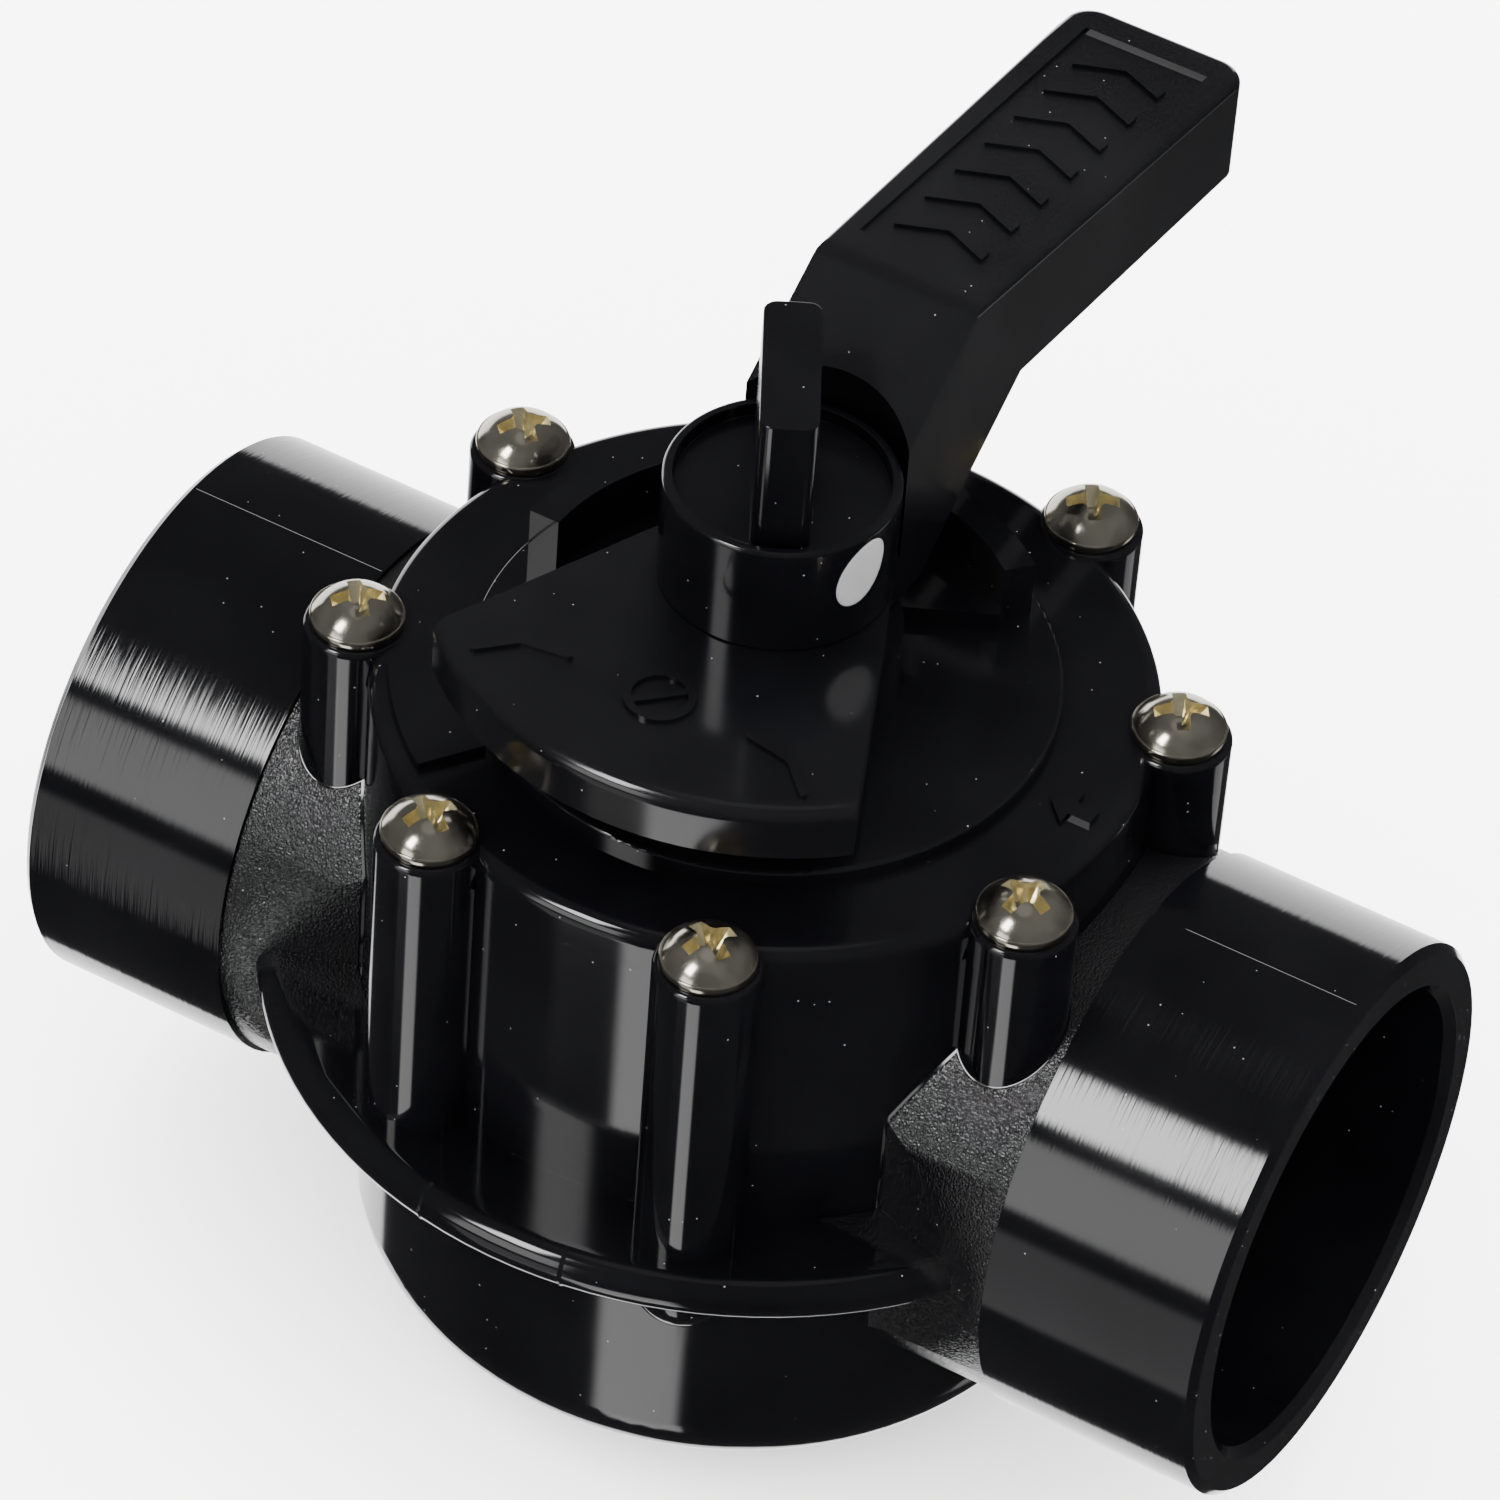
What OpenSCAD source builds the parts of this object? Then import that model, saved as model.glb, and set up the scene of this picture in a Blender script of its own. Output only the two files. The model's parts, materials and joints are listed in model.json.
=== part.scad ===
// Two port diverter valve with a lever handle, a wing locking knob and socket ports.
// Origin: bottom centre of the bowl on the stem axis. X runs along the ports, Z up.
// The model is at rest with the valve open, the lever arm towards +Y.

/* [Ports] */
// Height of the port axis above the base
port_h = 53; // [52.5:0.5:56]
// Length from port face to port face
port_span = 166.6; // [164:0.2:180]
// Outside diameter of the port stubs, the size of 2.5 inch pipe
stub_d = 73.03; // [72.5:0.01:73.5]
// Bore of the sockets, which take 2 inch pipe
socket_d = 60.3; // [59:0.1:61]
// Depth of the sockets
socket_depth = 33; // [28:1:34]
// Diameter of the waterway between socket and chamber
waterway_d = 52; // [44:1:54]
// Half width of a neck where it leaves the chamber
neck_root_w = 31.2; // [30:0.1:33]
// Distance from the stem axis to the seam between neck and stub
seam_x = 54.3; // [54:0.1:56]

/* [Bowl and chamber] */
// Outside radius of the bowl below the flange
bowl_r = 47.34; // [47:0.01:47.6]
// Radius of the wide arc of the bowl's corner
corner_wide_r = 58.75; // [57.5:1.25:60]
// Radius of the tight arc where the corner meets the wall
corner_tight_r = 9.75; // [9.75:1.25:11]
// Outside radius of the chamber above the flange
chamber_r = 48.1; // [48:0.1:49]
// Wall thickness of the bowl
wall = 3.75; // [2.5:1.25:3.75]
// Height of the joint between body and cover above the port axis
joint_up = 41.8; // [41:0.1:43]
// Radius of the middle flange
flange_r = 60.75; // [58:0.25:62]
// Thickness of the middle flange
flange_t = 6; // [4:0.5:8]

/* [Cover] */
// Thickness of the cover at its rim
cover_t = 5.4; // [5:0.1:6]
// Radius of the raised platform on the cover
platform_r = 36; // [35.5:0.5:37]
// Height of the raised platform
platform_t = 1.8; // [1.5:0.1:2.2]
// Inner radius of the stop rib
rib_in_r = 30; // [29.5:0.5:30.5]
// Outer radius of the stop rib
rib_out_r = 34; // [33.5:0.5:34.5]
// Direction in which the stop rib starts
rib_from = 50; // [48:1:51]
// Direction in which the stop rib ends
rib_to = 180; // [179:1:182]

/* [Screws] */
// Radius of the circle that the screws stand on
screw_circle_r = 50.2; // [50:0.1:50.6]
// Radius of a screw boss
boss_r = 6.6; // [6.2:0.1:7]
// Diameter of a screw head
head_d = 11.75; // [11:0.05:12.2]
// Height of a screw head
head_h = 4.3; // [3.6:0.1:4.6]
// Diameter of a screw's shank
shank_d = 5.9; // [5:0.1:6]
// Length of a screw below its head
shank_l = 20; // [16:1:20]

/* [Stem] */
// Radius of the stem
stem_r = 9; // [8.5:0.1:9.5]
// Radial clearance of the stem in the cover
stem_gap = 0.08; // [0.05:0.01:0.1]
// Width across the stem's two flats inside the handle
flats_w = 13; // [12:0.5:14]

/* [Handle] */
// Height of the underside of the sector plate above the port axis
plate_up = 57.3; // [57.3:0.1:58]
// Thickness of the sector plate
plate_t = 7.2; // [7:0.1:8]
// Radius of the sector plate
plate_r = 42.2; // [41:0.1:43]
// Half angle of the sector plate
plate_half = 43.4; // [40:0.1:46]
// Distance from the stem axis to the end of the grip
grip_end = 94.5; // [90:0.5:98]
// Half width of the arm
arm_w = 11.25; // [10.5:0.05:11.5]
// Half width of the grip at its end
grip_w = 12.2; // [11.5:0.1:13]

/* [Locking knob] */
// Radius of the knob's skirt
knob_r = 14.35; // [14:0.05:14.6]
// Height of the skirt
knob_h = 15.2; // [14:0.1:16]
// Height of the top of the wing above the plate
wing_h = 32.5; // [30:0.5:34]
// Length of the wing
wing_l = 23; // [20:0.5:24]
// Thickness of the wing
wing_t = 7.1; // [6:0.1:8]
// Direction of the wing
wing_dir = 119; // [0:1:180]
// Diameter of the knob's stud
stud_d = 6; // [5:0.5:6]

/* [Hidden] */
$fn = 96;
bite = 0.01;
plastic = "#17171a";
rubber = "#0e0e0f";

joint_z = port_h + joint_up;
cover_top = joint_z + cover_t;
platform_z = cover_top + platform_t;
plate_z = port_h + plate_up;
plate_top = plate_z + plate_t;
neck_top = plate_z - 0.3;
bore_r = bowl_r - wall;
port_r = stub_d / 2;
neck_r = port_r - 0.6;
neck_tip_w = port_r + 0.2;
neck_root_x = 37.1;

// The bowl's wide arc is tangent to the flat bottom and, in this direction, to the tight arc
tangent_dir = [0.5376, -0.8432];
corner_w = corner_tight_r + (corner_wide_r - corner_tight_r) * tangent_dir[0];
corner_h = corner_wide_r + (corner_wide_r - corner_tight_r) * tangent_dir[1];
flat_r = bowl_r - corner_w;
wide_c = [flat_r, corner_wide_r];
tight_c = [bowl_r - corner_tight_r, corner_h];

// Screws stand in pairs: those over the flange are long, those over the necks are short
screw_dirs = [22.5, 67.5, 112.5, 157.5, 202.5, 247.5, 292.5, 337.5];
long_dirs = [67.5, 112.5, 247.5, 292.5];
recess_turns = [12, 55, 30, 71, 20, 83, 40, 8];
head_z = cover_top + 0.1;
stub_foot = port_h - 12;
short_foot = port_h + 25;
pilot_gap = 0.05;

// Pivot at the bottom of the chamber
pivot_r = 5;
pivot_boss_r = 9;
pivot_boss_top = 17.3;
pivot_floor = 7;
washer_t = 1.5;

// Diverter
disc_r = bore_r - 0.8;
disc_t = 3;
disc_half = 34;
blade_dir = -90;
blade_half = 46;
blade_in_r = 38.5;
blade_out_r = 42.5;
seal_t = 1.2;
seal_out_r = bore_r - 0.3;
seal_in_r = blade_out_r - seal_t;
seal_rim = 4;
stem_top = plate_top - 0.5;
stem_ring_r = 0.93;
stem_groove_r = 7.2;
stem_groove_h = 2;
ring_z = [platform_z - 6, platform_z + 1];
insert_r = 4.3;
insert_l = 20;

// Cover underside
spigot_h = 6;
spigot_r = bore_r - 0.1;
groove_r = bore_r - 3;
groove_h = 3;
cover_ring_r = 1.45;
stuffing_r = 16;
pocket_in_r = 18;
pocket_out_r = 38;
pocket_h = 7;
rim_round = 2;

// Handle
hub_r = 14;
lug_half = 24;
lug_dir = -65;
lug_gap = 0.6;
scoop_r = 15.3;
bend_y = 26.3;
bend_up = 92.3;
arm_slope = 0.69;
grip_drop = 8.4;
tip_low = 68.8;
under_y = 38.3;
under_up = 74.2;
root_y = 16.2;
grip_corner = 4;
panel_from = 5.3;
panel_l = 58;
panel_w = 17.2;
panel_t = 0.5;

// Knob
dish_t = 1.8;
bead_w = 1.3;
knob_z = plate_top + 0.1;
wing_round = 1.75;
knob_recess_r = 10.5;
knob_recess_h = 1.7;
stud_head_af = 10;
stud_head_h = 5;
stud_head_z = knob_z + 4;

// Wedge between two directions, wide enough to cut a ring of radius r
module wedge(from, to, r) {
    mid = (from + to) / 2;
    reach = 2.5 * r;
    polygon([
        [0, 0],
        reach * [cos(from), sin(from)],
        reach * [cos(mid), sin(mid)],
        reach * [cos(to), sin(to)]
    ]);
}

// Flat ring sector
module sector(r_in, r_out, from, to) {
    intersection() {
        difference() {
            circle(r = r_out);
            circle(r = r_in);
        }
        wedge(from, to, r_out);
    }
}

// Half profile of a disc whose top edge is rounded
module rounded_disc(r, h, edge) {
    square([r, h - edge]);
    square([r - edge, h]);
    translate([r - edge, h - edge]) circle(r = edge);
}

// Half profile of a ring that lies at radius r
module ring_profile(r, section_r) {
    translate([r, 0]) circle(r = section_r, $fn = 32);
}

// Half profile of the bowl, moved inwards by inset
module bowl_profile(inset, top) {
    wide = corner_wide_r - inset;
    tight = corner_tight_r - inset;
    touch = wide_c + wide * tangent_dir;
    polygon([
        [0, inset],
        [flat_r, inset],
        touch,
        [bowl_r - inset, corner_h],
        [bowl_r - inset, top],
        [0, top]
    ]);
    intersection() {
        translate(wide_c) circle(r = wide);
        polygon([wide_c, wide_c - [0, 2 * wide], wide_c + 2 * wide * tangent_dir]);
    }
    intersection() {
        translate(tight_c) circle(r = tight);
        polygon([tight_c, tight_c + 2 * tight * tangent_dir, tight_c + [2 * tight, 0]]);
    }
}

// A solid along X, centred on the port axis
module port_cylinder(r, from, to) {
    translate([from, 0, port_h]) rotate([0, 90, 0]) cylinder(r = r, h = to - from);
}

// Both necks and stubs as one bar, with bevelled ends and the necks' sides cut to a taper
module port_bar() {
    edge = 1;
    full = port_span / 2 - edge;
    for (side = [0, 180]) rotate(side) {
        port_cylinder(port_r, seam_x, full);
        translate([full, 0, port_h]) rotate([0, 90, 0])
            cylinder(r1 = port_r, r2 = port_r - edge, h = edge);
    }
    difference() {
        port_cylinder(neck_r, -seam_x - 1, seam_x + 1);
        for (i = [0, 1], j = [0, 1]) mirror([i, 0, 0]) mirror([0, j, 0])
            translate([0, 0, port_h - port_r - 1]) linear_extrude(2 * port_r + 2) polygon([
                [-1, neck_root_w],
                [neck_root_x, neck_root_w],
                [seam_x, neck_tip_w],
                [seam_x, 2 * port_r],
                [-1, 2 * port_r]
            ]);
    }
}

// The socket and its bevelled mouth towards +X
module port_bore() {
    mouth = 1.2;
    port_cylinder(socket_d / 2, port_span / 2 - socket_depth, port_span / 2 + 1);
    translate([port_span / 2 - mouth, 0, port_h]) rotate([0, 90, 0])
        cylinder(r1 = socket_d / 2, r2 = socket_d / 2 + mouth + bite, h = mouth + bite);
}

module at_screws(dirs) {
    for (a = dirs) rotate(a) translate([screw_circle_r, 0, 0]) children();
}

module body_boss(is_long) {
    foot = is_long ? stub_foot + boss_r : short_foot;
    translate([0, 0, foot]) cylinder(r = boss_r, h = joint_z - foot + 2);
    if (is_long) translate([0, 0, foot]) sphere(r = boss_r);
}

module valve_body() {
    color(plastic) {
        difference() {
            union() {
                rotate_extrude() bowl_profile(0, port_h);
                translate([0, 0, port_h - 1]) cylinder(r = chamber_r, h = joint_up + 2);
                rotate_extrude() translate([0, port_h]) {
                    translate([0, -flange_t / 2]) square([flange_r - flange_t / 2, flange_t]);
                    translate([flange_r - flange_t / 2, 0]) circle(r = flange_t / 2);
                }
                port_bar();
                for (a = screw_dirs)
                    rotate(a) translate([screw_circle_r, 0, 0])
                        body_boss(len(search(a, long_dirs)) > 0);
            }
            rotate_extrude() bowl_profile(wall, joint_z + 9);
            translate([0, 0, joint_z]) cylinder(r = 2 * chamber_r, h = 8);
            port_cylinder(waterway_d / 2, -port_span / 2, port_span / 2);
            for (side = [0, 180]) rotate(side) port_bore();
            at_screws(screw_dirs) translate([0, 0, head_z - shank_l - 1])
                cylinder(r = shank_d / 2 + pilot_gap, h = shank_l);
        }
        difference() {
            translate([0, 0, wall - 0.5]) cylinder(r = pivot_boss_r, h = pivot_boss_top - wall + 0.5);
            translate([0, 0, pivot_floor]) cylinder(r = pivot_r + pilot_gap, h = pivot_boss_top);
        }
    }
}

// Arrow that shows the flow, pointing into the valve
module flow_arrow() {
    translate([42.3, 0]) polygon([
        [-3, 0],
        [0, -3],
        [0, -1.2],
        [3, -1.2],
        [3, 1.2],
        [0, 1.2],
        [0, 3]
    ]);
}

module cover() {
    boss_h = head_z - joint_z;
    pad_t = 1;
    step_t = 2.2;
    mark_t = 0.6;
    color(plastic) difference() {
        union() {
            translate([0, 0, joint_z]) rotate_extrude() rounded_disc(chamber_r, cover_t, rim_round);
            translate([0, 0, joint_z - spigot_h]) cylinder(r = spigot_r, h = spigot_h + 1);
            translate([0, 0, cover_top - 1]) rotate_extrude()
                rounded_disc(platform_r, platform_t + 1, 0.5);
            translate([0, 0, platform_z - 1]) cylinder(r = stuffing_r, h = neck_top - platform_z + 1);
            at_screws(screw_dirs) translate([0, 0, joint_z]) rotate_extrude()
                rounded_disc(boss_r, boss_h, 0.8);
            translate([0, 0, platform_z - 1]) linear_extrude(neck_top - platform_z + 1)
                sector(rib_in_r, rib_out_r, rib_from, rib_to);
            translate([0, 0, cover_top - 1]) linear_extrude(pad_t + 1)
                sector(platform_r + 1, 45.8, -149, -125);
            translate([0, 0, platform_z - 1]) linear_extrude(step_t + 1) intersection() {
                circle(r = rib_in_r + 0.2);
                polygon([[8.2, 15.5], [19.9, 21.5], [26, 36], [0, 36]]);
            }
            translate([0, 0, cover_top - 1]) linear_extrude(mark_t + 1) flow_arrow();
        }
        translate([0, 0, joint_z - spigot_h - 1]) cylinder(r = stem_r + stem_gap, h = neck_top);
        translate([0, 0, joint_z - spigot_h - bite]) linear_extrude(pocket_h) difference() {
            circle(r = pocket_out_r);
            circle(r = pocket_in_r);
        }
        translate([0, 0, joint_z - (spigot_h + groove_h) / 2]) linear_extrude(groove_h)
            difference() {
                circle(r = bore_r + 1);
                circle(r = groove_r);
            }
        at_screws(screw_dirs) translate([0, 0, joint_z - 1])
            cylinder(r = shank_d / 2 + 0.2, h = boss_h + 5);
    }
}

module cover_o_ring() {
    color(rubber) translate([0, 0, joint_z - spigot_h / 2]) rotate_extrude()
        ring_profile(groove_r + 1.5, cover_ring_r);
}

// Pan head: a short rim, a spherical crown and a cross recess
module screw(turn) {
    rim_h = 1.2;
    crown_h = head_h - rim_h;
    crown_r = (pow(head_d / 2, 2) + pow(crown_h, 2)) / (2 * crown_h);
    tip_h = 3;
    difference() {
        union() {
            cylinder(d = head_d, h = rim_h);
            intersection() {
                translate([0, 0, head_h - crown_r]) sphere(r = crown_r);
                cylinder(d = head_d, h = head_h + 1);
            }
            translate([0, 0, tip_h - shank_l]) cylinder(d = shank_d, h = shank_l - tip_h + bite);
            translate([0, 0, -shank_l]) cylinder(d1 = shank_d / 2, d2 = shank_d, h = tip_h);
        }
        for (a = [0, 90]) rotate(turn + a) translate([-3, -0.8, head_h - 2]) cube([6, 1.6, 4]);
        translate([0, 0, head_h - 2.6]) cylinder(r1 = 0.8, r2 = 1.8, h = 2.6 + bite);
    }
}

module cover_screws() {
    color("silver") for (i = [0:len(screw_dirs) - 1])
        rotate(screw_dirs[i]) translate([screw_circle_r, 0, head_z]) screw(recess_turns[i]);
}

module flat_ring(r_in, r_out, z, h) {
    translate([0, 0, z]) difference() {
        cylinder(r = r_out, h = h);
        translate([0, 0, -1]) cylinder(r = r_in, h = h + 2);
    }
}

module lower_thrust_washer() {
    color("ivory") flat_ring(pivot_r + 0.3, pivot_boss_r - 0.2, pivot_boss_top, washer_t);
}

module upper_thrust_washer() {
    color("ivory") flat_ring(stem_r + 0.3, stuffing_r, joint_z - spigot_h - washer_t, washer_t);
}

module diverter() {
    disc_z = port_h - disc_half;
    color(plastic) difference() {
        union() {
            translate([0, 0, disc_z]) cylinder(r = disc_r, h = disc_t);
            translate([0, 0, port_h + disc_half - disc_t]) cylinder(r = disc_r, h = disc_t);
            translate([0, 0, disc_z + 1]) linear_extrude(2 * disc_half - 2)
                sector(blade_in_r, blade_out_r, blade_dir - blade_half, blade_dir + blade_half);
            translate([0, 0, pivot_floor + 0.5]) cylinder(r = pivot_r, h = disc_z - pivot_floor);
            translate([0, 0, port_h + disc_half - 1])
                cylinder(r = stem_r, h = plate_z - port_h - disc_half + 1);
            translate([0, 0, plate_z - 1]) linear_extrude(stem_top - plate_z + 1) flats(0);
        }
        seal_space();
        for (z = ring_z) stem_groove(z);
        translate([0, 0, stem_top - insert_l]) cylinder(r = insert_r, h = insert_l + 1);
    }
}

// Outline of the stem with its two flats
module flats(gap) {
    intersection() {
        circle(r = stem_r + gap);
        square([flats_w + 2 * gap, 4 * stem_r], center = true);
    }
}

module stem_groove(z) {
    translate([0, 0, z - stem_groove_h / 2]) linear_extrude(stem_groove_h) difference() {
        circle(r = stem_r + 1);
        circle(r = stem_groove_r);
    }
}

// Curved frame between two radii that goes round the waterway
module seal_frame(r_in, r_out) {
    seal_half = blade_half - 1.5;
    rim_angle = 5;
    half_h = disc_half - disc_t - bite;
    difference() {
        translate([0, 0, port_h - half_h]) linear_extrude(2 * half_h)
            sector(r_in, r_out, blade_dir - seal_half, blade_dir + seal_half);
        translate([0, 0, port_h - half_h + seal_rim]) linear_extrude(2 * (half_h - seal_rim))
            sector(r_in - 1, r_out + 1, blade_dir - seal_half + rim_angle,
                blade_dir + seal_half - rim_angle);
    }
}

module seal_space() {
    seal_frame(seal_in_r, bore_r + 1);
}

module diverter_seal() {
    color(rubber) seal_frame(seal_in_r, seal_out_r);
}

module lower_stem_o_ring() {
    color(rubber) translate([0, 0, ring_z[0]]) rotate_extrude()
        ring_profile(stem_groove_r + stem_ring_r, stem_ring_r);
}

module upper_stem_o_ring() {
    color(rubber) translate([0, 0, ring_z[1]]) rotate_extrude()
        ring_profile(stem_groove_r + stem_ring_r, stem_ring_r);
}

module shaft_insert() {
    color("goldenrod") flat_ring(stud_d / 2 + pilot_gap, insert_r, stem_top - insert_l, insert_l);
}

// Outline of the sector plate: the sides are tangent to the hub
module plate_outline() {
    tangent_at = -90 + plate_half + acos(hub_r / plate_r);
    touch = hub_r * [cos(tangent_at), sin(tangent_at)];
    corner = plate_r * [cos(plate_half - 90), sin(plate_half - 90)];
    beyond = touch + 1.4 * (corner - touch);
    circle(r = hub_r);
    polygon([
        touch,
        beyond,
        [-beyond[0], beyond[1]],
        [-touch[0], touch[1]]
    ]);
}

module sector_plate() {
    intersection() {
        translate([0, 0, plate_z]) linear_extrude(plate_t) plate_outline();
        translate([0, 0, plate_z]) rotate_extrude() rounded_disc(plate_r, plate_t, rim_round);
    }
}

// Arm and grip: a side profile cut to the outline seen from above
module arm() {
    tip_up = bend_up - grip_drop;
    foot_up = bend_up - arm_slope * bend_y;
    intersection() {
        translate([0, 0, port_h]) rotate([90, 0, 90])
            linear_extrude(4 * grip_w, center = true) polygon([
                [0, plate_up],
                [root_y, plate_up],
                [under_y, under_up],
                [grip_end, tip_low],
                [grip_end, tip_up],
                [bend_y, bend_up],
                [0, foot_up]
            ]);
        translate([0, 0, plate_z]) linear_extrude(bend_up) {
            polygon([
                [-arm_w, 0],
                [arm_w, 0],
                [arm_w, bend_y],
                [grip_w, grip_end - grip_corner],
                [grip_w - grip_corner, grip_end],
                [grip_corner - grip_w, grip_end],
                [-grip_w, grip_end - grip_corner],
                [-arm_w, bend_y]
            ]);
            for (side = [-1, 1])
                translate([side * (grip_w - grip_corner), grip_end - grip_corner])
                    circle(r = grip_corner);
        }
    }
}

// Places a child on the sloping top of the grip, with Y running along it from the bend
module on_grip() {
    slope = atan(grip_drop / (grip_end - bend_y));
    translate([0, bend_y, port_h + bend_up]) rotate([-slope, 0, 0]) children();
}

// Raised chevrons in the sunken panel on top of the grip
module grip_marks() {
    count = 7;
    pitch = 7.6;
    bar_w = 2.2;
    reach = 6;
    for (i = [0:count - 1])
        translate([0, panel_from + 7 + i * pitch, -2 * panel_t])
            linear_extrude(2 * panel_t - 0.05) polygon([
                [-reach, -reach / 2],
                [0, 0],
                [reach, -reach / 2],
                [reach, bar_w - reach / 2],
                [0, bar_w],
                [-reach, bar_w - reach / 2]
            ]);
}

// Cells that core out the grip from below, with a web along the middle and across
module grip_cells() {
    cell_w = 8;
    cell_l = 15.5;
    web = 2;
    top_skin = 3.2;
    for (side = [-1, 1], i = [0:2])
        intersection() {
            translate([side * (cell_w + web) / 2 - cell_w / 2, 40 + i * (cell_l + web), 0])
                cube([cell_w, cell_l, 2 * port_h + bend_up]);
            translate([0, 0, port_h]) rotate([90, 0, 90])
                linear_extrude(4 * grip_w, center = true) polygon([
                    [bend_y, 0],
                    [grip_end, 0],
                    [grip_end, bend_up - grip_drop - top_skin],
                    [bend_y, bend_up - top_skin]
                ]);
        }
}

// Closed sign, a ring with a bar across, and the corner brackets beside it
module plate_marks() {
    mark_t = 0.5;
    sign_y = -27;
    sign_r = 4.4;
    line = 1;
    translate([0, 0, plate_top - 1]) linear_extrude(1 + mark_t) {
        translate([0, sign_y]) {
            difference() {
                circle(r = sign_r);
                circle(r = sign_r - line);
            }
            rotate(45) square([2 * sign_r - line, line], center = true);
        }
        for (side = [-1, 1]) scale_x(side) {
            bracket_bar([12.5, -27], [18.5, -28], line);
            bracket_bar([18.5, -28], [22.5, -32], line);
        }
    }
}

// Flips the drawing left to right when side is negative
module scale_x(side) {
    if (side < 0) mirror([1, 0]) children();
    else children();
}

// A straight bar from a to b with round ends
module bracket_bar(a, b, w) {
    d = b - a;
    translate(a) rotate(atan2(d[1], d[0])) translate([0, -w / 2]) square([norm(d), w]);
    for (p = [a, b]) translate(p) circle(d = w, $fn = 24);
}

module handle() {
    lug_z = platform_z + lug_gap;
    color(plastic) {
        difference() {
            union() {
                sector_plate();
                arm();
                translate([0, 0, lug_z]) linear_extrude(plate_z - lug_z + 1)
                    sector(rib_in_r + 0.5, rib_out_r - 0.5, lug_dir - lug_half, lug_dir + lug_half);
                plate_marks();
            }
            translate([0, 0, plate_z - 1]) linear_extrude(plate_t + 2) flats(pilot_gap);
            translate([0, 0, plate_top]) cylinder(r = scoop_r, h = bend_up);
            on_grip() translate([-panel_w / 2, panel_from, -panel_t]) cube([panel_w, panel_l, 2]);
            grip_cells();
        }
        on_grip() grip_marks();
    }
}

module knob_wing_outline() {
    x = wing_l / 2 - wing_round;
    y = wing_t / 2 - wing_round;
    square([wing_l, 2 * y], center = true);
    square([2 * x, wing_t], center = true);
    for (i = [-1, 1], j = [-1, 1]) translate([i * x, j * y]) circle(r = wing_round, $fn = 32);
}

module locking_knob() {
    color(plastic) difference() {
        union() {
            translate([0, 0, knob_z]) rotate_extrude() difference() {
                rounded_disc(knob_r, knob_h, bead_w / 2);
                translate([0, knob_h - dish_t]) square([knob_r - bead_w, dish_t + 1]);
            }
            translate([0, 0, knob_z + knob_h - dish_t - 1]) rotate(wing_dir)
                linear_extrude(wing_h - knob_h + dish_t + 0.9) knob_wing_outline();
        }
        translate([0, 0, knob_z - 1]) cylinder(r = knob_recess_r, h = knob_recess_h + 1);
        translate([0, 0, knob_z]) cylinder(d = stud_d, h = stud_head_z - knob_z + bite);
        translate([0, 0, stud_head_z]) rotate(wing_dir) stud_head();
    }
}

module stud_head() {
    cylinder(d = stud_head_af / cos(30), h = stud_head_h, $fn = 6);
}

module knob_stud() {
    below = 16;
    color("silver") {
        translate([0, 0, plate_top - below])
            cylinder(d = stud_d, h = stud_head_z - plate_top + below + bite);
        translate([0, 0, stud_head_z]) rotate(wing_dir) stud_head();
    }
}

module knob_washer() {
    color("silver") flat_ring(stud_d / 2 + 0.3, knob_recess_r - 1, knob_z, washer_t);
}

valve_body();
cover();
cover_o_ring();
cover_screws();
lower_thrust_washer();
upper_thrust_washer();
diverter();
diverter_seal();
lower_stem_o_ring();
upper_stem_o_ring();
shaft_insert();
handle();
locking_knob();
knob_stud();
knob_washer();
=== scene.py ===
# Studio scene of the diverter valve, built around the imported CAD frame. Lengths are in metres.
import json
import math
import bmesh
import bpy
from mathutils import Matrix, Vector


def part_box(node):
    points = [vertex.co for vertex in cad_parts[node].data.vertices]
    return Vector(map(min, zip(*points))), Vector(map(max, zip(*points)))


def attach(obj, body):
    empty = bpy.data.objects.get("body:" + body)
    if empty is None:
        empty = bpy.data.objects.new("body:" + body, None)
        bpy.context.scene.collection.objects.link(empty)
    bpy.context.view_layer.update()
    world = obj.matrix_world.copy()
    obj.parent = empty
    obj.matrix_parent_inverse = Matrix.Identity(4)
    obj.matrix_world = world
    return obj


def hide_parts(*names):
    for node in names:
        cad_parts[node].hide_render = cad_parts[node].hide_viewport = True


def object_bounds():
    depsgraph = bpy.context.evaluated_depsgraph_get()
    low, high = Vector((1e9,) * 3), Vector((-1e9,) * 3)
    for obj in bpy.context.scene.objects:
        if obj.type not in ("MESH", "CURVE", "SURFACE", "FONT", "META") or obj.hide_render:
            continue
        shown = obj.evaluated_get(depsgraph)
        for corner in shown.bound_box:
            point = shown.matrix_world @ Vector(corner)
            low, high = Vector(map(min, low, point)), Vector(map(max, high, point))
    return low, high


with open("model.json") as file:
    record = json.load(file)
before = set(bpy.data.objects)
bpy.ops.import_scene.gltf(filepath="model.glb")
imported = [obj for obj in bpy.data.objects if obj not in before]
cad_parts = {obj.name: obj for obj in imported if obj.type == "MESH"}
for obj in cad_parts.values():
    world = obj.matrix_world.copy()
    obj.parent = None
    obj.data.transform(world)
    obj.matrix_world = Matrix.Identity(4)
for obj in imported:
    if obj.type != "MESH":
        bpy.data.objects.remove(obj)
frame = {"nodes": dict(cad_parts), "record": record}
cad_box = [list(corner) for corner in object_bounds()]
nodes = frame["nodes"]
MM = 0.001

# ---------------------------------------------------------------- places taken from the frame
mounts = {m["name"]: m for m in frame["record"]["mounts"]}
axis_z = mounts["inlet_socket"]["pos_m"][2]
port_end = mounts["inlet_spigot"]["pos_m"][0]
port_r = mounts["inlet_spigot"]["dims"]["r_mm"] * MM
stub_from = port_end - mounts["inlet_spigot"]["dims"]["length_mm"] * MM
knob_low, knob_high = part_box("locking_knob")
screw_low, screw_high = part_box("cover_screws")
handle_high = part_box("handle")[1]

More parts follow.
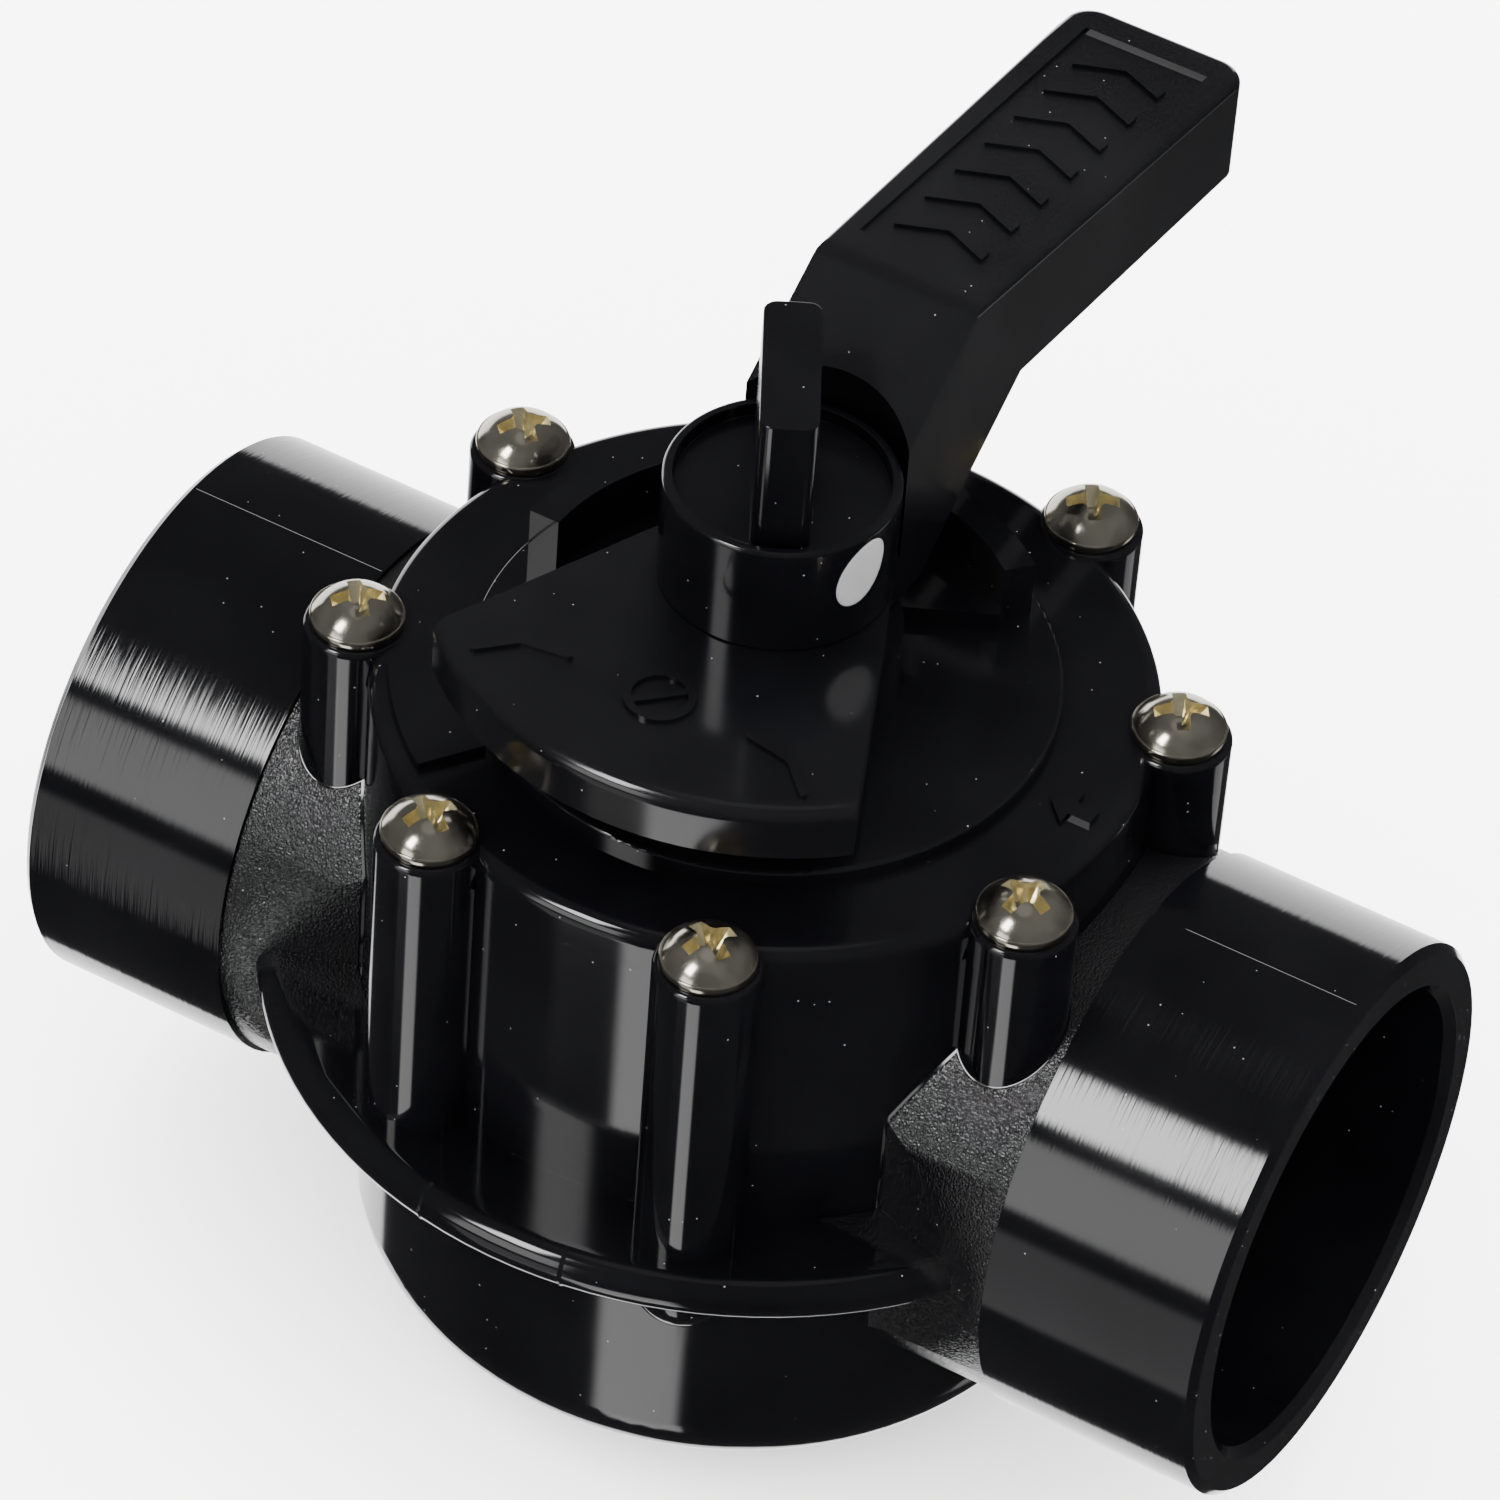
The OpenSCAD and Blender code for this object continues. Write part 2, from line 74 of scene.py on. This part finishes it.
# Eight screws stand on one circle, the first at this angle from the ports
FIRST_SCREW = math.radians(22.5)
HEAD_R = 5.875 * MM
screw_circle = (screw_high.x - HEAD_R) / math.cos(FIRST_SCREW)

# Sizes of the mouldings that the frame doesn't state, measured on the CAD
CHAMBER_R = 48.4 * MM
SCREW_BOSS_R = 6.7 * MM
NECK_HALF_WIDTH = 37.5 * MM
FLANGE_R = 60.75 * MM
FLANGE_HALF_THICKNESS = 3 * MM
SKIRT_R = 14.35 * MM


# ---------------------------------------------------------------- node helpers
class Tree:
    """A node tree, with short calls for the nodes that this scene uses."""

    def __init__(self, tree):
        self.tree = tree

    def add(self, kind, **settings):
        node = self.tree.nodes.new(kind)
        for key, value in settings.items():
            setattr(node, key, value)
        return node

    def link(self, source, target):
        self.tree.links.new(source, target)

    def put(self, value, socket):
        """Links another node's output to the socket, or sets the socket's own value."""
        if isinstance(value, bpy.types.NodeSocket):
            self.link(value, socket)
        else:
            socket.default_value = value

    def math(self, operation, a, b=0.0):
        node = self.add("ShaderNodeMath", operation=operation)
        for value, socket in zip((a, b), node.inputs):
            self.put(value, socket)
        return node.outputs[0]

    def length(self, a, b):
        return self.math("SQRT", self.math("ADD", self.math("MULTIPLY", a, a), self.math("MULTIPLY", b, b)))

    def spread(self, value, low, high, out_low, out_high):
        """out_low where value is at or below low, out_high where it is at or above high."""
        node = self.add("ShaderNodeMapRange")
        self.link(value, node.inputs["Value"])
        limits = {"From Min": low, "From Max": high, "To Min": out_low, "To Max": out_high}
        for key, number in limits.items():
            self.put(number, node.inputs[key])
        return node.outputs["Result"]

    def between(self, value, low, high, soft):
        """1 between low and high, falling to 0 over soft on both sides."""
        rise = self.spread(value, low - soft, low, 0.0, 1.0)
        fall = self.spread(value, high, high + soft, 1.0, 0.0)
        return self.math("MULTIPLY", rise, fall)

    def split(self, vector):
        node = self.add("ShaderNodeSeparateXYZ")
        self.link(vector, node.inputs[0])
        return node

    def mix(self, factor, a, b):
        node = self.add("ShaderNodeMix", data_type="FLOAT")
        sockets = node.inputs[0], node.inputs[2], node.inputs[3]
        for value, socket in zip((factor, a, b), sockets):
            self.put(value, socket)
        return node.outputs[0]

    def blend(self, factor, a, b):
        """A colour between a and b, each a colour or another node's output."""
        node = self.add("ShaderNodeMix", data_type="RGBA")
        self.put(factor, node.inputs[0])
        for value, socket in ((a, node.inputs[6]), (b, node.inputs[7])):
            self.put((*value, 1) if isinstance(value, tuple) else value, socket)
        return node.outputs[2]


class Shader(Tree):
    """A new material, textured in the object's own coordinates."""

    def __init__(self, name):
        self.material = bpy.data.materials.new(name)
        self.material.use_nodes = True
        super().__init__(self.material.node_tree)
        self.bsdf = self.tree.nodes["Principled BSDF"]
        self.position = self.add("ShaderNodeTexCoord").outputs["Object"]

    def axis(self, name):
        return self.split(self.position).outputs[name]

    def stretched(self, x, y, z):
        """The object's coordinates scaled by a different amount along each axis."""
        node = self.add("ShaderNodeMapping")
        node.inputs["Scale"].default_value = (x, y, z)
        self.link(self.position, node.inputs["Vector"])
        return node.outputs[0]

    def noise(self, scale, detail=2.0, vector=None):
        node = self.add("ShaderNodeTexNoise")
        node.inputs["Scale"].default_value = scale
        node.inputs["Detail"].default_value = detail
        self.link(vector or self.position, node.inputs["Vector"])
        return node.outputs["Fac"]

    def dust(self, scale, size, share):
        """1 on sparse small specks, which this share of the cells has."""
        node = self.add("ShaderNodeTexVoronoi")
        node.inputs["Scale"].default_value = scale
        self.link(self.position, node.inputs["Vector"])
        chosen = self.math("LESS_THAN", self.split(node.outputs["Color"]).outputs["X"], share)
        speck = self.spread(node.outputs["Distance"], size, size * 1.5, 1.0, 0.0)
        return self.math("MULTIPLY", chosen, speck)

    def tint(self, factor, a, b):
        self.link(self.blend(factor, a, b), self.bsdf.inputs["Base Color"])

    def bump(self, height, distance, strength=1.0):
        node = self.add("ShaderNodeBump")
        node.inputs["Distance"].default_value = distance
        node.inputs["Strength"].default_value = strength
        self.link(height, node.inputs["Height"])
        self.link(node.outputs[0], self.bsdf.inputs["Normal"])


# ---------------------------------------------------------------- materials
BLACK = (0.0005, 0.0005, 0.0007)
BLACK_WORN = (0.0011, 0.0011, 0.0014)
DUST = (0.07, 0.07, 0.075)
GRAIN_ROUGHNESS = 0.24
GRAIN_SCALE = 3600.0
GRAIN_HEIGHT = 1.1
RING_STRETCH = (2400.0, 40.0, 40.0)
RING_HEIGHT = 0.3


def moulded_plastic(name, roughness, ripple, pebbled=None, turned=None):
    """Glossy black moulding with a faint ripple and specks of dust.

    It has a fine grain where pebbled gives 1, and turned rings where turned gives 1.
    """
    s = Shader(name)
    cloud = s.blend(s.spread(s.noise(60.0, 4.0), 0.35, 0.75, 0.0, 1.0), BLACK, BLACK_WORN)
    s.tint(s.dust(650.0, 0.055, 0.16), cloud, DUST)
    s.bsdf.inputs["IOR"].default_value = 1.5
    smudge = s.spread(s.noise(25.0, 5.0), 0.3, 0.7, roughness * 0.8, roughness * 1.3)
    height = s.math("MULTIPLY", s.noise(220.0, 1.0), ripple)
    if pebbled:
        mask = pebbled(s)
        smudge = s.mix(mask, smudge, GRAIN_ROUGHNESS)
        grain = s.math("MULTIPLY", s.noise(GRAIN_SCALE, 0.0), s.math("MULTIPLY", mask, GRAIN_HEIGHT))
        height = s.math("ADD", height, grain)
    if turned:
        rings = s.math("MULTIPLY", s.noise(1.0, 3.0, s.stretched(*RING_STRETCH)), turned(s))
        height = s.math("ADD", height, s.math("MULTIPLY", rings, RING_HEIGHT))
    s.link(smudge, s.bsdf.inputs["Roughness"])
    s.bump(height, 0.1 * MM)
    return s.material


def neck_mask(s):
    """1 on the pebbled necks, from the chamber to the smooth stubs, but not on the screw bosses."""
    x = s.math("ABSOLUTE", s.axis("X"))
    y = s.math("ABSOLUTE", s.axis("Y"))
    beyond = s.spread(s.length(x, y), CHAMBER_R, CHAMBER_R + 0.3 * MM, 0.0, 1.0)
    boss_x, boss_y = screw_circle * math.cos(FIRST_SCREW), screw_circle * math.sin(FIRST_SCREW)
    from_boss = s.length(s.math("SUBTRACT", x, boss_x), s.math("SUBTRACT", y, boss_y))
    off_boss = s.spread(from_boss, SCREW_BOSS_R, SCREW_BOSS_R + 0.1 * MM, 0.0, 1.0)
    clear = s.math("MULTIPLY", off_boss, s.spread(y, port_r, NECK_HALF_WIDTH, 1.0, 0.0))
    inside = s.spread(x, stub_from - 0.1 * MM, stub_from, 1.0, 0.0)
    return s.math("MULTIPLY", s.math("MULTIPLY", beyond, clear), inside)


def stub_mask(s):
    """0.6 at the start of the stubs, rising to 1 at their mouths, and 0 elsewhere."""
    x = s.math("ABSOLUTE", s.axis("X"))
    on_stub = s.spread(x, stub_from, stub_from + 0.1 * MM, 0.0, 1.0)
    return s.math("MULTIPLY", on_stub, s.spread(x, stub_from, port_end, 0.6, 1.0))


def brushed_metal(name, color, roughness, grain):
    s = Shader(name)
    s.bsdf.inputs["Metallic"].default_value = 1.0
    s.tint(s.noise(900.0, 3.0), color, tuple(c * 0.82 for c in color))
    smudge = s.spread(s.noise(400.0, 4.0), 0.3, 0.7, roughness * 0.8, roughness * 1.25)
    s.link(smudge, s.bsdf.inputs["Roughness"])
    s.bump(s.noise(2600.0, 2.0), 0.01 * MM, grain)
    return s.material


def soft_material(name, color, roughness):
    s = Shader(name)
    s.tint(s.noise(300.0, 3.0), color, tuple(c * 1.25 for c in color))
    s.bsdf.inputs["Roughness"].default_value = roughness
    s.bump(s.noise(1500.0, 2.0), 0.02 * MM, 0.5)
    return s.material


body_plastic = moulded_plastic("body_plastic", 0.08, 0.03, neck_mask, stub_mask)
cover_plastic = moulded_plastic("cover_plastic", 0.1, 0.04)
handle_plastic = moulded_plastic("handle_plastic", 0.14, 0.05)
knob_plastic = moulded_plastic("knob_plastic", 0.1, 0.04)
stainless = brushed_metal("stainless", (0.42, 0.395, 0.33), 0.15, 0.15)
# The cross recess gets a copy of the screw steel about twice as bright: a painted highlight in place of the
# light caught inside the recess.
recess_steel_painted_highlight = brushed_metal("recess_steel_painted_highlight", (0.85, 0.77, 0.52), 0.2, 0.3)
brass = brushed_metal("brass", (0.78, 0.6, 0.32), 0.3, 0.5)
rubber = soft_material("black_rubber", (0.012, 0.012, 0.013), 0.62)
nylon = soft_material("white_nylon", (0.6, 0.58, 0.52), 0.45)
label_paper = soft_material("label_paper", (0.08, 0.08, 0.08), 0.35)


# ---------------------------------------------------------------- CAD nodes
def smooth(mesh):
    for face in mesh.polygons:
        face.use_smooth = True


def modify(node, name, kind, **settings):
    modifier = node.modifiers.new(name, kind)
    for key, value in settings.items():
        setattr(modifier, key, value)


def dress(name, material, bevel=0.0, rounded=None):
    """Gives a CAD node its material, smooth shading and a small rounded edge.

    The edge is wider on the vertices whose numbers are in rounded.
    """
    node = nodes[name]
    node.data.materials.clear()
    node.data.materials.append(material)
    smooth(node.data)
    if not bevel:
        return
    modify(node, "weld", "WELD", merge_threshold=0.002 * MM)
    modify(node, "flat", "DECIMATE", decimate_type="DISSOLVE", angle_limit=math.radians(0.6))
    if rounded:
        node.vertex_groups.new(name="rounded").add(rounded, 1.0, "REPLACE")
        modify(node, "wide", "BEVEL", width=1.3 * MM, segments=4, limit_method="VGROUP",
               vertex_group="rounded", use_clamp_overlap=False)
    modify(node, "edge", "BEVEL", width=bevel, segments=3, limit_method="ANGLE",
           angle_limit=math.radians(32))
    modify(node, "shade", "WEIGHTED_NORMAL", mode="FACE_AREA_WITH_ANGLE", weight=80,
           keep_sharp=True)


def arm_edges():
    """Vertices on the outer edges of the arm's and grip's top, which the real moulding rounds."""
    arm_from, edges_from = knob_low.z + 8 * MM, knob_low.z + 14 * MM
    grip_from, grip_end = 30 * MM, handle_high.y - 4.5 * MM
    places = [vertex.co for vertex in nodes["handle"].data.vertices]
    high = [(co.y, co.z) for co in places if co.z > arm_from]
    found = []
    for index, co in enumerate(places):
        half_width = 9 * MM if co.y > grip_from else 10.9 * MM
        if co.z < edges_from or (abs(co.x) < half_width and co.y < grip_end):
            continue
        crest = max(z for y, z in high if abs(y - co.y) < 1.5 * MM)
        if co.z > crest - 0.4 * MM:
            found.append(index)
    return found


dress("valve_body", body_plastic, 0.5 * MM)
dress("cover", cover_plastic)
dress("handle", handle_plastic, 0.5 * MM, arm_edges())
dress("locking_knob", knob_plastic, 0.5 * MM)
dress("diverter", handle_plastic, 0.4 * MM)
for ring in ("cover_o_ring", "diverter_seal", "lower_stem_o_ring", "upper_stem_o_ring"):
    dress(ring, rubber)
for washer in ("lower_thrust_washer", "upper_thrust_washer"):
    dress(washer, nylon)
dress("shaft_insert", brass)
dress("knob_stud", stainless)
dress("knob_washer", stainless)


# ---------------------------------------------------------------- new pieces
def finish_piece(name, mesh, body, slot, *materials):
    """Puts a mesh in the scene as one piece that rides on a body."""
    piece = bpy.data.objects.new(name, mesh)
    bpy.context.scene.collection.objects.link(piece)
    for material in materials:
        mesh.materials.append(material)
    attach(piece, body)
    return piece


def mesh_of(name, build, *args):
    bm = bmesh.new()
    build(bm, *args)
    bmesh.ops.recalc_face_normals(bm, faces=bm.faces)
    mesh = bpy.data.meshes.new(name)
    bm.to_mesh(mesh)
    bm.free()
    return mesh


def bridge(bm, rings):
    """Joins neighbouring rings of vertices. A ring that repeats one vertex is a pole."""
    for low, high in zip(rings, rings[1:]):
        for k in range(len(low)):
            after = (k + 1) % len(low)
            corners = [low[k], low[after], high[after], high[k]]
            bm.faces.new([v for n, v in enumerate(corners) if v not in corners[:n]])


def lathe(bm, profile, steps):
    """Turns a profile of (radius, height) pairs, from the lower pole to the upper one, round Z."""
    rings = []
    for radius, height in profile:
        if radius == 0:
            rings.append([bm.verts.new((0, 0, height))] * steps)
            continue
        turns = [2 * math.pi * k / steps for k in range(steps)]
        rings.append([bm.verts.new((radius * math.cos(t), radius * math.sin(t), height)) for t in turns])
    bridge(bm, rings)


# The screws are built in mm, with the head's underside at height 0
SHANK_LENGTH = 20
HEAD_TOP = 4.3


def screw_profile():
    """Outline of a pan head screw: point, thread, short rim with a soft edge, and crown."""
    core_r, thread_r, pitch = 2.3, 2.92, 1.4
    outline = [(0, -SHANK_LENGTH), (1.3, 1.4 - SHANK_LENGTH)]
    for k in range(12):
        z = 2.2 - SHANK_LENGTH + pitch * k
        outline += [(core_r, z - pitch / 4), (thread_r, z), (core_r, z + pitch / 4)]
    outline += [(2.4, -1.0), (2.4, 0), (5.6, 0), (5.8, 0.08)]
    outline += [(5.875, 0.25), (5.875, 1.05), (5.82, 1.2), (5.7, 1.3)]
    crown_r, crown_rise, crown_steps = 5.6, 3.0, 22
    ball_r = (crown_r ** 2 + crown_rise ** 2) / (2 * crown_rise)
    for k in range(crown_steps):
        radius = crown_r * (1 - k / crown_steps)
        outline.append((radius, HEAD_TOP - ball_r + math.sqrt(ball_r ** 2 - radius ** 2)))
    outline.append((0, HEAD_TOP))
    return outline


def cross_cutter(bm):
    """Tapered cross recess, as (height, arm's reach, arm's half width, inner corner) levels."""
    levels = [
        (0.9, 0.5, 0.3, 0.42),
        (1.3, 1.5, 0.5, 0.75),
        (3.4, 3.3, 0.85, 1.25),
        (4.6, 3.6, 0.95, 1.45),
    ]
    rings = []
    for height, reach, half, inner in levels:
        ring = []
        for k in range(4):
            c, d = round(math.cos(k * math.pi / 2)), round(math.sin(k * math.pi / 2))
            for u, v in ((reach, -half), (reach, half), (inner, half), (half, inner)):
                ring.append(bm.verts.new((c * u - d * v, d * u + c * v, height)))
        rings.append(ring)
    bridge(bm, rings)
    bm.faces.new(list(reversed(rings[0])))
    bm.faces.new(rings[-1])


def cut_head():
    """One screw with its recess cut out."""
    blank_mesh = mesh_of("screw_blank", lathe, screw_profile(), 64)
    blank = bpy.data.objects.new("screw_blank", blank_mesh)
    cutter = bpy.data.objects.new("screw_cutter", mesh_of("screw_cutter", cross_cutter))
    for item in (blank, cutter):
        bpy.context.scene.collection.objects.link(item)
    modify(blank, "recess", "BOOLEAN", operation="DIFFERENCE", solver="EXACT", object=cutter)
    bpy.context.view_layer.update()
    done = blank.evaluated_get(bpy.context.evaluated_depsgraph_get())
    cut_mesh = bpy.data.meshes.new_from_object(done)
    for item in (blank, cutter):
        bpy.data.objects.remove(item)
    return cut_mesh


def in_recess(face):
    centre = face.calc_center_median()
    return 0.8 < centre.z < 4.2 and centre.xy.length < 3.3 and face.normal.z < 0.8


def add_screws():
    """The eight cover screws, each turned as far as it happened to be driven."""
    cut_mesh = cut_head()
    head_z = screw_low.z + SHANK_LENGTH * MM
    bm = bmesh.new()
    for k, turn in enumerate((12, 55, 30, 71, 20, 83, 40, 8)):
        part = bmesh.new()
        part.from_mesh(cut_mesh)
        part.normal_update()
        for face in part.faces:
            recess = in_recess(face)
            # Faces in the recess take the brighter steel, a painted highlight.
            face.material_index = 1 if recess else 0
            face.smooth = not recess
        round_axis = Matrix.Rotation(FIRST_SCREW + k * math.pi / 4, 4, "Z")
        place = round_axis @ Matrix.Translation((screw_circle, 0, head_z))
        driven = Matrix.Rotation(math.radians(turn), 4, "Z")
        part.transform(place @ driven @ Matrix.Scale(MM, 4))
        moved = bpy.data.meshes.new("screw_part")
        part.to_mesh(moved)
        part.free()
        bm.from_mesh(moved)
        bpy.data.meshes.remove(moved)
    mesh = bpy.data.meshes.new("pan_head_screws")
    bm.to_mesh(mesh)
    bm.free()
    mesh.set_sharp_from_angle(angle=math.radians(40))
    screws = finish_piece("pan_head_screws", mesh, "housing", "stainless", stainless, recess_steel_painted_highlight)
    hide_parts("cover_screws")


def label_shape(bm):
    """A thin oval bent round the knob's skirt, from its middle out to a rim sunk in the skirt."""
    half_width, half_height, lean = 3.4 * MM, 4.7 * MM, math.radians(-28)
    azimuth, middle_z = math.radians(-17), knob_low.z + 9.6 * MM
    face_lift, steps = 0.1 * MM, 64

    def corner(share, step, lift):
        turn = 2 * math.pi * step / steps
        a, b = share * half_width * math.cos(turn), share * half_height * math.sin(turn)
        along = a * math.cos(lean) - b * math.sin(lean)
        up = a * math.sin(lean) + b * math.cos(lean)
        angle, radius = azimuth + along / SKIRT_R, SKIRT_R + lift
        return bm.verts.new((radius * math.cos(angle), radius * math.sin(angle), middle_z + up))

    rings = [[corner(0, 0, face_lift)] * steps]
    outline = [(share, face_lift) for share in (0.25, 0.5, 0.75, 0.95)]
    for share, lift in outline + [(1.0, 0.07 * MM), (1.0, -0.05 * MM)]:
        rings.append([corner(share, step, lift) for step in range(steps)])
    bridge(bm, rings)


def add_label():
    """Blank oval sticker on the knob's skirt."""
    mesh = mesh_of("knob_label", label_shape)
    smooth(mesh)
    finish_piece("knob_label", mesh, "knob", "white_nylon", label_paper)


def ridge(bm, points, width, height):
    """A thin raised line along (point, outward, sideways) triples, closed at both ends."""
    rings = []
    for point, outward, side in points:
        across, up = side * width, outward * height
        corners = (point - across, point + up, point + across, point - up)
        rings.append([bm.verts.new(c) for c in corners])
    bridge(bm, rings)
    bm.faces.new(rings[0])
    bm.faces.new(list(reversed(rings[-1])))


def mould_line_shape(bm):
    """Parting lines left by the mould, on top of both stubs and across the flange's edge."""
    top = Vector((0, 0, 1))
    for side in (-1, 1):
        ends = [stub_from + 0.3 * MM, port_end - 0.4 * MM]
        line = [(Vector((side * x, 0, axis_z + port_r)), top, Vector((0, 1, 0))) for x in ends]
        ridge(bm, line, 0.12 * MM, 0.05 * MM)
    for azimuth in (-100, -81, 80, 99):
        out = Vector((math.cos(math.radians(azimuth)), math.sin(math.radians(azimuth)), 0))
        centre = out * (FLANGE_R - FLANGE_HALF_THICKNESS) + top * axis_z
        line = []
        for k in range(13):
            tilt = math.radians(-80 + 160 * k / 12)
            outward = out * math.cos(tilt) + top * math.sin(tilt)
            point = centre + outward * FLANGE_HALF_THICKNESS
            line.append((point, outward, Vector((-out.y, out.x, 0))))
        ridge(bm, line, 0.3 * MM, 0.1 * MM)


add_screws()
add_label()
mould_lines = mesh_of("mould_lines", mould_line_shape)
finish_piece("mould_lines", mould_lines, "housing", "black_plastic", cover_plastic)


# ---------------------------------------------------------------- camera, floor and light
# The camera stands where it was fitted to the photo
CAMERA_AT = Vector((0.37265, -0.72217, axis_z + 0.79602))
CAMERA_RIGHT = Vector((0.86041, 0.50635, 0.05743))
CAMERA_UP = Vector((-0.38338, 0.56892, 0.72757))
LENS = 219.49


def add_camera():
    data = bpy.data.cameras.new("camera")
    data.lens = LENS
    data.sensor_width = 36.0
    camera = bpy.data.objects.new("camera", data)
    right = CAMERA_RIGHT.normalized()
    up = (CAMERA_UP - right * CAMERA_UP.dot(right)).normalized()
    back = right.cross(up)
    turn = Matrix((right, up, back)).transposed().to_4x4()
    camera.matrix_world = Matrix.Translation(CAMERA_AT) @ turn
    bpy.context.scene.collection.objects.link(camera)
    bpy.context.scene.camera = camera


def add_floor():
    reach = 6.0
    corners = [(-reach, -reach, 0), (reach, -reach, 0), (reach, reach, 0), (-reach, reach, 0)]
    mesh = bpy.data.meshes.new("floor")
    mesh.from_pydata(corners, [], [(0, 1, 2, 3)])
    floor = bpy.data.objects.new("floor", mesh)
    floor.location.z = cad_box[0][2]
    s = Shader("floor_paper")
    s.tint(s.noise(3.0), (0.9, 0.9, 0.9), (0.92, 0.92, 0.92))
    s.bsdf.inputs["Roughness"].default_value = 0.9
    mesh.materials.append(s.material)
    floor.visible_glossy = False
    bpy.context.scene.collection.objects.link(floor)


# Soft boxes round the object as (azimuth from, to, elevation from, to, brightness), in degrees.
# They and GLOSS_FILL show only in gloss. SKY_FILL is the even light that everything else gets.
SOFT_BOXES = [
    (-120, -106, 37, 54, 24.0),
    (-118, -96, 2, 26, 3.4),
    (-118, -96, -42, -11, 0.8),
    (-97, -74, -62, -37, 3.4),
    (32, 56, -56, -32, 1.0),
    (97, 165, -78, 8, 3.2),
    (-180, 180, 76, 90, 0.2),
]
EDGE_SOFT = 3.0
GLOSS_FILL = 0.06
SKY_FILL = 9.0


def add_world():
    """A world that lights the floor evenly and shows dark surroundings with soft boxes in gloss."""
    world = bpy.data.worlds.new("studio")
    world.use_nodes = True
    bpy.context.scene.world = world
    s = Tree(world.node_tree)
    direction = s.split(s.add("ShaderNodeTexCoord").outputs["Generated"])
    turn = s.math("ARCTAN2", direction.outputs["Y"], direction.outputs["X"])
    azimuth = s.math("MULTIPLY", turn, 180 / math.pi)
    elevation = s.math("MULTIPLY", s.math("ARCSINE", direction.outputs["Z"]), 180 / math.pi)
    total = GLOSS_FILL
    for az_from, az_to, el_from, el_to, bright in SOFT_BOXES:
        across = s.between(azimuth, az_from, az_to, EDGE_SOFT)
        box = s.math("MULTIPLY", across, s.between(elevation, el_from, el_to, EDGE_SOFT))
        total = s.math("ADD", total, s.math("MULTIPLY", box, bright))
    glossy = s.add("ShaderNodeLightPath").outputs["Is Glossy Ray"]
    strength = s.mix(glossy, SKY_FILL, total)
    background = s.tree.nodes["Background"]
    background.inputs["Color"].default_value = (1, 1, 1, 1)
    s.link(strength, background.inputs["Strength"])


add_camera()
add_floor()
add_world()
